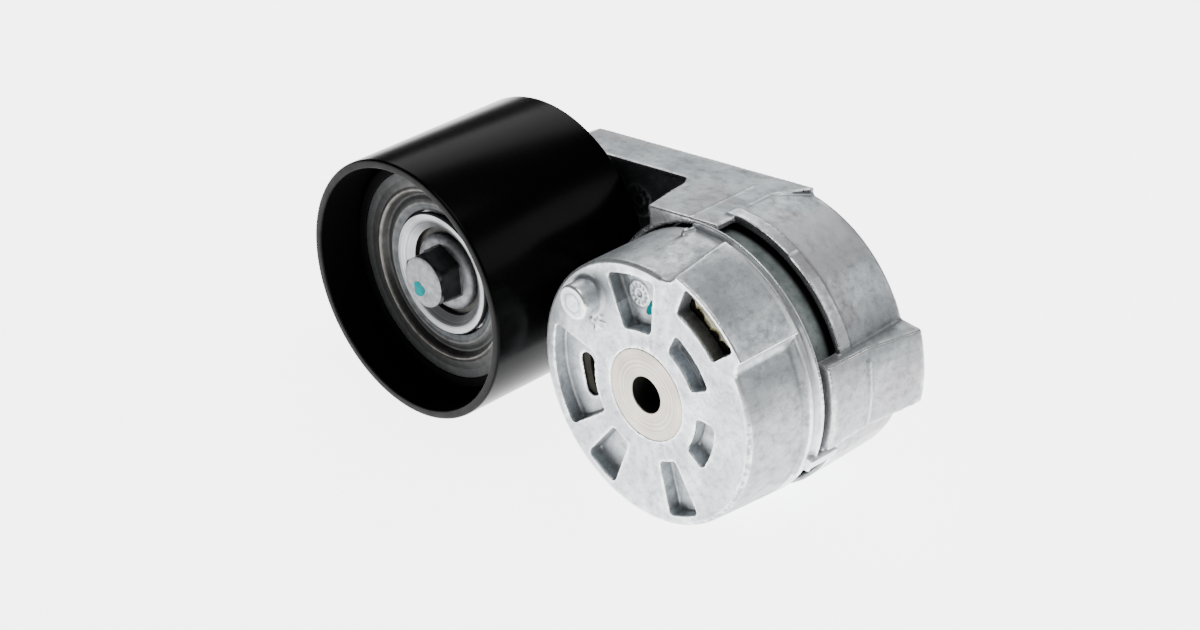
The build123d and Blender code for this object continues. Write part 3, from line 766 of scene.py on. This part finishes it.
def make_studio():
    """A glowing white table, a soft light behind the arm, a small one in front and a dim room."""
    size = 6.0
    mesh = bpy.data.meshes.new("floor")
    corners = [(-size, -size, 0), (size, -size, 0), (size, size, 0), (-size, size, 0)]
    mesh.from_pydata(corners, [], [(0, 1, 2, 3)])
    floor = link(mesh, "floor")
    floor.location = (-0.14, 0.06, FLOOR_Z - 0.0002)
    paint(floor, floor_material())
    world = bpy.data.worlds.new("room")
    world.use_nodes = True
    world.node_tree.nodes["Background"].inputs["Color"].default_value = (0.95, 0.98, 1.0, 1)
    world.node_tree.nodes["Background"].inputs["Strength"].default_value = 0.10
    bpy.context.scene.world = world
    centre = (-0.03, 0.02, 0.0)
    area_light("rear_softbox", (-0.68, 0.72, 0.62), centre, (0.8, 0.5), 3.9)
    area_light("overhead", (0.10, 0.10, 1.10), centre, (0.7, 0.7), 7.0)
    area_light("side", (0.70, 0.70, 0.60), centre, (0.6, 0.5), 2.5)


make_camera()
make_studio()


# ---------------------------------------------------------------- pulley and bearing
def make_pulley():
    """The drum: rim, web and bearing hub, with a rolled front lip."""
    front, rear = y_span("pulley_shell")
    wall = PULLEY_R - 2.5
    profile = rounded([
        (wall, front, 0.5), (PULLEY_R, front, 0.9), (PULLEY_R, rear, 0.9), (wall, rear, 0.5),
        (wall, 14.0, 1.5), (34.0, 13.0, 1.0), (34.0, 23.9, 0.4), (29.2, 23.9, 0.4), (29.2, 21.6, 0),
        (31.0, 21.6, 0), (31.0, -1.3, 0.3), (34.0, -1.3, 0.8), (34.0, 3.0, 1.0), (wall, 4.0, 1.5),
    ], 0.3)
    shell = lathe("pulley", profile, PULLEY_X, 256)
    for material in (PULLEY_PAINT, RIM_METAL, INNER_PAINT):
        shell.data.materials.append(material)
    for face in shell.data.polygons:
        c = face.center / MM
        r = math.hypot(c[0] - PULLEY_X, c[2])
        if r < PULLEY_R - 0.35 and (c[1] < front + 0.8 or c[1] > rear - 0.8) and r > wall - 0.2:
            face.material_index = 1
        elif r < PULLEY_R - 1.0:
            face.material_index = 2
    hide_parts("pulley_shell")
    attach(shell, "pulley")


def make_dust_cover():
    """Pressed steel disc with two raised rings and a groove between them."""
    profile = rounded([
        (31.0, -0.9, 0.2), (28.5, -0.6, 1.2), (26.2, -0.7, 0.8), (25.2, -1.1, 0.5), (24.6, -0.5, 0.6),
        (23.6, 1.3, 1.6), (22.2, 0.6, 0.9), (21.0, 0.2, 0.5), (20.2, 0.6, 0.6), (18.7, 1.0, 0.2),
        (18.7, 1.6, 0.2), (21.2, 1.8, 0.4), (22.0, 2.3, 0.5), (24.8, 2.3, 0.5), (26.4, 0.6, 0.4),
        (27.6, 0.6, 0.4), (29.8, 0.2, 0.4), (29.9, 2.9, 0.1), (31.0, 2.9, 0.1),
    ], 0.3)
    cover = lathe("dust_cover", profile, PULLEY_X, 192)
    paint(cover, COVER_METAL)
    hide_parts("front_dust_cover")
    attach(cover, "pulley")


def make_clamp_cup():
    """The bright dished collar round the bolt, with its faces round the bolt's flange painted dark as shade
    in the gap.
    """
    gap_r = 13.15
    profile = rounded([
        (5.3, 3.45, 0), (12.9, 3.45, 0), (13.1, 2.0, 0.3), (15.9, -0.1, 0.5), (16.6, -0.35, 0.4),
        (17.9, -0.35, 0.5), (18.1, 0.0, 0.3), (18.1, 1.6, 0.3), (16.9, 2.4, 0.3), (16.9, 4.6, 0),
        (5.3, 4.6, 0),
    ], 0.3)
    cup = lathe("clamp_cup", profile, PULLEY_X, 192)
    paint(cup, SILVER_METAL)
    cup.data.materials.append(BORE_SHADE)
    # Faces round the bolt's flange are painted near-black as shade in the gap.
    for face in cup.data.polygons:
        c = face.center / MM
        if math.hypot(c[0] - PULLEY_X, c[2]) < gap_r:
            face.material_index = 1
    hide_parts("bearing_clamp_cup")
    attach(cup, "arm")


def make_bolt():
    """Hexagon head with a turned chamfer, a sloping round flange and a plain shank."""
    front, rear = y_span("pulley_bolt")
    seat = 3.4
    half_flats = 7.5
    turn = math.radians(39.0)
    rings = []
    flange_top = 0.9
    depth = [front, front, front + 0.25, front + 0.9, front + 1.3, front + 4.0, flange_top - 0.5,
             flange_top - 0.1]
    uncut = 99.0
    cone = [half_flats - 1.6, half_flats - 0.5, half_flats, half_flats + 0.75, uncut, uncut, uncut, uncut]
    swell = [0, 0, 0, 0, 0, 0, 0.1, 0.5]
    segments = 192
    bm = bmesh.new()
    for y, limit, extra in zip(depth, cone, swell):
        ring = []
        for i in range(segments):
            a = 2 * math.pi * i / segments
            side = (a - turn) % (math.pi / 3) - math.pi / 6
            flat = half_flats / math.cos(side)
            corner = half_flats / math.cos(math.pi / 6) - 0.22
            r = min(flat, corner, limit) + extra
            ring.append(bm.verts.new(((PULLEY_X + r * math.cos(a)) * MM, y * MM, r * math.sin(a) * MM)))
        rings.append(ring)
    for y, r in ((flange_top, 9.4), (1.15, 10.4), (1.7, 11.05), (2.2, 11.3), (3.1, 11.3), (seat, 11.0),
                 (seat, 5.0), (rear - 1.0, 5.0), (rear, 4.2)):
        ring = []
        for i in range(segments):
            a = 2 * math.pi * i / segments
            ring.append(bm.verts.new(((PULLEY_X + r * math.cos(a)) * MM, y * MM, r * math.sin(a) * MM)))
        rings.append(ring)
    for here, there in zip(rings, rings[1:]):
        for k in range(segments):
            n = (k + 1) % segments
            bm.faces.new((here[k], here[n], there[n], there[k]))
    bm.faces.new(rings[0])
    bm.faces.new(rings[-1])
    bmesh.ops.recalc_face_normals(bm, faces=bm.faces)
    mesh = bpy.data.meshes.new("pulley_bolt_detailed")
    bm.to_mesh(mesh)
    bm.free()
    soften(mesh, 28)
    bolt = link(mesh, "pulley_bolt_detailed")
    paint(bolt, BOLT_METAL)
    bolt.data.materials.append(BOLT_SIDES_SHADE)
    # The hexagon's sides get the darker copy: painted shade.
    for face in bolt.data.polygons:
        if front + 0.5 < face.center[1] / MM < flange_top - 0.3:
            face.material_index = 1
    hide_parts("pulley_bolt")
    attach(bolt, "arm")
    dot_outline = []
    for i in range(40):
        a = 2 * math.pi * i / 40
        r = 2.25 + 0.18 * math.sin(3 * a + 1) + 0.1 * math.sin(5 * a)
        dot_outline.append((PULLEY_X - 1.4 + r * math.cos(a), -2.8 + r * math.sin(a)))
    dot = prism("bolt_paint_dot", dot_outline, front - 0.06, front + 0.05)
    paint(dot, TEAL_PAINT)
    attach(dot, "arm")


make_pulley()
make_dust_cover()
make_clamp_cup()
make_bolt()


# ---------------------------------------------------------------- base
def casting_dial(x, z, front, radius):
    """A plain round casting mark: two rings with ticks between them."""
    marks = []
    for r in (radius, radius * 0.45):
        outline = rounded([(r - 0.35, front), (r, front), (r, front + 0.8), (r - 0.35, front + 0.8)], 0)
        ring = lathe("mark_ring", outline, 0.0, 48)
        ring.data.transform(Matrix.Translation((x * MM, 0, z * MM)))
        marks.append(ring)
    for i in range(12):
        a = math.radians(30 * i + 15)
        ca, sa = math.cos(a), math.sin(a)
        inner, outer, half = radius * 0.62, radius * 0.86, 0.16
        corners = []
        for r, w in ((inner, -half), (outer, -half), (outer, half), (inner, half)):
            corners.append((x + r * ca - w * sa, z + r * sa + w * ca))
        marks.append(prism("mark_tick", corners, front, front + 0.8))
    return marks


def flash_chips():
    """Rough little chips of flash on the mounting face, below the locating pin."""
    chips = []
    for i in range(16):
        reach = 1.0 + 0.28 * i
        a = 2.4 * i
        x, z = -18.6 + 0.55 * reach * math.cos(a), 15.6 + 0.75 * reach * math.sin(a)
        size = 0.45 + 0.28 * math.sin(5.1 * i) ** 2
        outline = []
        for k in range(5):
            turn = 2 * math.pi * k / 5 + i
            r = size * (1 + 0.4 * math.sin(3.7 * i + 2.1 * k))
            outline.append((x + r * math.cos(turn), z + r * math.sin(turn)))
        chips.append(prism("flash_chip", outline, -0.62, 0.6))
    return chips


def drum_radius(y, angle):
    """How far the housing's drum reaches from the pivot axis; it grows and shifts towards its rear."""
    t = y / DRUM_REAR_Y
    a = math.radians(angle)
    x, z = [centre + drift * t for centre, drift in zip(DRUM_CENTRE, DRUM_DRIFT)]
    return DRUM_R + DRUM_GROWTH * t + x * math.cos(a) + z * math.sin(a)


def pad_fillets():
    """The hollow curves between the drum and the two ends of the raised pad."""
    upper, lower = [], []
    for k in range(23):
        y = 0.05 + k * 0.95
        edge = math.degrees(math.acos((PAD_TOP_X - PAD_SLANT * (y + 1)) / PAD_R))
        for rings, start, width in ((upper, edge, 6.4), (lower, PAD_LOW_ANGLE, -4.2)):
            sign = math.copysign(1.0, width)
            foot = start + width
            low, high = drum_radius(y, foot) - 0.06, PAD_R - 0.02
            p0 = (high, start - 0.3 * sign)
            p1 = (drum_radius(y, start) + 0.35, start + 0.8 * sign)
            p2 = (low, foot)
            outline = []
            for i in range(9):
                t = i / 8
                r = (1 - t) ** 2 * p0[0] + 2 * t * (1 - t) * p1[0] + t * t * p2[0]
                a = (1 - t) ** 2 * p0[1] + 2 * t * (1 - t) * p1[1] + t * t * p2[1]
                outline.append((r, a))
            outline.append((low - 0.9, foot))
            outline.append((low - 0.9, start - 0.3 * sign))
            rings.append([on_circle(r, y, a) for r, a in outline])
    return [loft("upper_fillet", upper), loft("lower_fillet", lower)]


def scoop_saddle():
    """The soft hump and hollow that blend the drum into the scoop in front of the rim."""
    rear_y = 23.3
    hump = ((15.0, 0.16), (16.5, 0.42), (18.0, 0.62), (19.2, 0.52), (20.4, 0.24), (21.6, 0.08),
            (rear_y, 0.04))
    rings = []
    for k in range(25):
        angle = 83.0 + 0.9 * k
        fade = min(1.0, max(0.0, (104.6 - angle) / 5.0))
        rise = fade * fade * (3 - 2 * fade)
        outline = [(drum_radius(11.0, angle) - 1.0, 11.0), (drum_radius(13.0, angle) - 0.05, 13.0)]
        for y, height in hump:
            outline.append((drum_radius(y, angle) - 0.06 + height * rise, y))
        outline.append((37.0, rear_y))
        rings.append([on_circle(r, y, angle) for r, y in outline])
    return loft("scoop_saddle", rings)


def grease_smear():
    """A ragged ridge of grease squeezed out along the outer wall of the window."""
    rings = []
    steps = 60
    start, end = WINDOW_ANGLES
    for k in range(steps + 1):
        angle = start + (end - start) * k / steps
        ends = math.sin(math.pi * k / steps) ** 0.35
        wander = noise.noise(Vector((0.13 * k, 1.7, 0.0))) + 0.35 * noise.noise(Vector((0.37 * k, 5.1, 0.0)))
        inner = WINDOW_R - (4.4 + 1.5 * wander) * ends - 0.15
        front = 0.95 - 0.5 * noise.noise(Vector((0.21 * k, 9.3, 0.0)))
        outline = [(WINDOW_R, front + 0.4), (0.5 * (inner + WINDOW_R), front), (inner, front + 0.9),
                   (inner + 0.1, front + 2.6), (WINDOW_R, front + 3.4)]
        rings.append([on_circle(r, y, angle) for r, y in outline])
    return loft("window_grease", rings, 80.0)


def make_base():
    """The base's casting, the grease in its window and the paint mark in its upper pocket."""
    marks = casting_dial(-7.9, 26.2, POCKET_FLOOR_Y - 0.45, 3.6) + flash_chips() + pad_fillets()
    marks.append(scoop_saddle())
    body = cast_from("base_housing", "base_casting_skin", marks, voxel=0.34, smoothing=3, ripple=0.03,
                     seed=0.0, keep=0.32)
    paint(body, BASE_METAL)
    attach(body, "base")
    grease = grease_smear()
    paint(grease, SMEAR_GREASE)
    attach(grease, "base")
    blob = [(-5.3, 21.6), (-4.3, 21.2), (-3.4, 21.8), (-3.5, 23.9), (-3.0, 25.4), (-4.0, 26.3), (-5.0, 25.4),
            (-4.9, 23.5)]
    mark = prism("pocket_paint_mark", blob, POCKET_FLOOR_Y - 0.08, POCKET_FLOOR_Y + 0.1)
    paint(mark, TEAL_PAINT)
    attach(mark, "base")


def make_shaft():
    """The pivot shaft, whose turned front face is flush with the mounting face."""
    front, rear = y_span("pivot_shaft")
    bore_r, boss_r, shank_r, end_r = 5.25, 13.2, 10.0, 8.5
    profile = rounded([
        (bore_r, front, 0.35), (boss_r, front, 0.35), (boss_r, 4.0, 0), (shank_r, 4.0, 0),
        (shank_r, 57.5, 0.1), (end_r, 57.5, 0), (end_r, rear, 0.5), (bore_r, rear, 0.4),
    ], 0.2)
    shaft = lathe("pivot_shaft_turned", profile, 0.0, 160)
    paint(shaft, SHAFT_METAL)
    shaft.data.materials.append(BORE_SHADE)
    # The bore's inside is painted near-black as shade.
    for face in shaft.data.polygons:
        c = face.center / MM
        if math.hypot(c[0], c[2]) < bore_r + 0.25 and c[1] > front + 0.3:
            face.material_index = 1
    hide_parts("pivot_shaft")
    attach(shaft, "base")


def make_sleeve():
    """The thin damping sleeve between the base's bore and the arm's cup."""
    front, rear = y_span("damping_sleeve")
    sleeve = lathe("damping_sleeve_turned", rounded([
        (35.0, front, 0.3), (36.6, front, 0.3), (36.6, rear, 0.5), (35.0, rear, 0.5)], 0.3), 0.0, 200)
    paint(sleeve, SLEEVE_PLASTIC)
    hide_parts("damping_sleeve")
    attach(sleeve, "base")


def make_arm():
    """The arm's casting, with its dial, the seam across its flat top and the seam round its lug."""
    marks = casting_dial(-49.3, 20.3, PLATE_FRONT_Y - 0.5, 4.6)
    along, height = -5, 40.0
    seam_x = along * math.cos(ARM_TILT) - height * math.sin(ARM_TILT)
    seam_z = along * math.sin(ARM_TILT) + height * math.cos(ARM_TILT)
    seam = [(seam_x + 0.08 * math.sin(y), y, seam_z) for y in range(27, 53)]
    marks.append(tube("top_seam", seam, 0.42, 10))
    ridge = [(x, 41.0, z) for x, z in arc(42.62, -9.3, 17.5, 30)]
    marks.append(tube("lug_seam", ridge, 0.55, 10))
    body = cast_from("tensioner_arm", "arm_casting_skin", marks, voxel=0.38, smoothing=3, ripple=0.035,
                     seed=5.0, keep=0.27)
    paint(body, ARM_METAL)
    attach(body, "arm")


def make_spring():
    """The torsion spring: its front end is held by the base, its rear end by the arm."""
    front, pitch, turns = 9.2, 6.7, 6.0
    mean_r, wire_r = COIL_R, 2.62
    start = math.radians(50.0)
    radial = Vector((math.cos(start), 0, math.sin(start)))
    onward = Vector((math.sin(start), 0, -math.cos(start)))
    path = []
    corner = radial * mean_r + Vector((0, front, 0))
    for reach in (7.4, 6.2, 5.0):
        path.append(corner + radial * reach)
    for k in range(7):
        t = k / 7
        path.append(corner + radial * 4.0 * (1 - t) ** 2 + onward * 4.0 * t * t)
    steps = 64
    bend = 8.0 / mean_r / (2 * math.pi)
    for k in range(round(steps * bend) + 1, round(steps * (turns - bend))):
        a = start - 2 * math.pi * k / steps
        path.append(Vector((mean_r * math.cos(a), front + pitch * k / steps, mean_r * math.sin(a))))
    corner = radial * mean_r + Vector((0, front + pitch * turns, 0))
    for k in range(1, 8):
        t = 1 - k / 7
        path.append(corner + radial * 2.6 * (1 - t) ** 2 - onward * 4.0 * t * t)
    spring = tube("coil_spring", path, wire_r, 24)
    paint(spring, SPRING_GREASE)
    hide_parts("torsion_spring")
    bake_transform(spring)


make_base()
make_shaft()
make_spring()
make_sleeve()
make_arm()

# ---------------------------------------------------------------- CAD pieces that keep their shape
KEPT = {
    "front_thrust_washer": BUSH_PLASTIC, "damper_band": PLAIN_STEEL, "front_spring_seat": NYLON,
    "end_washer": WASHER_STEEL, "front_bushing": BUSH_PLASTIC, "rear_bushing": BUSH_PLASTIC,
    "rear_thrust_washer": BUSH_PLASTIC, "rear_spring_seat": NYLON, "bearing_sleeve": PLAIN_STEEL,
    "bearing_inner_ring": PLAIN_STEEL, "rear_dust_shield": DARK_STEEL, "bearing_retaining_ring": RIM_METAL,
    "bearing_outer_ring": PLAIN_STEEL, "front_bearing_seal": BLACK_RUBBER, "rear_bearing_seal": BLACK_RUBBER,
    "bearing_balls": PLAIN_STEEL, "ball_cage": PLAIN_STEEL,
}
for node_name, material in KEPT.items():
    paint(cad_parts[node_name], material)
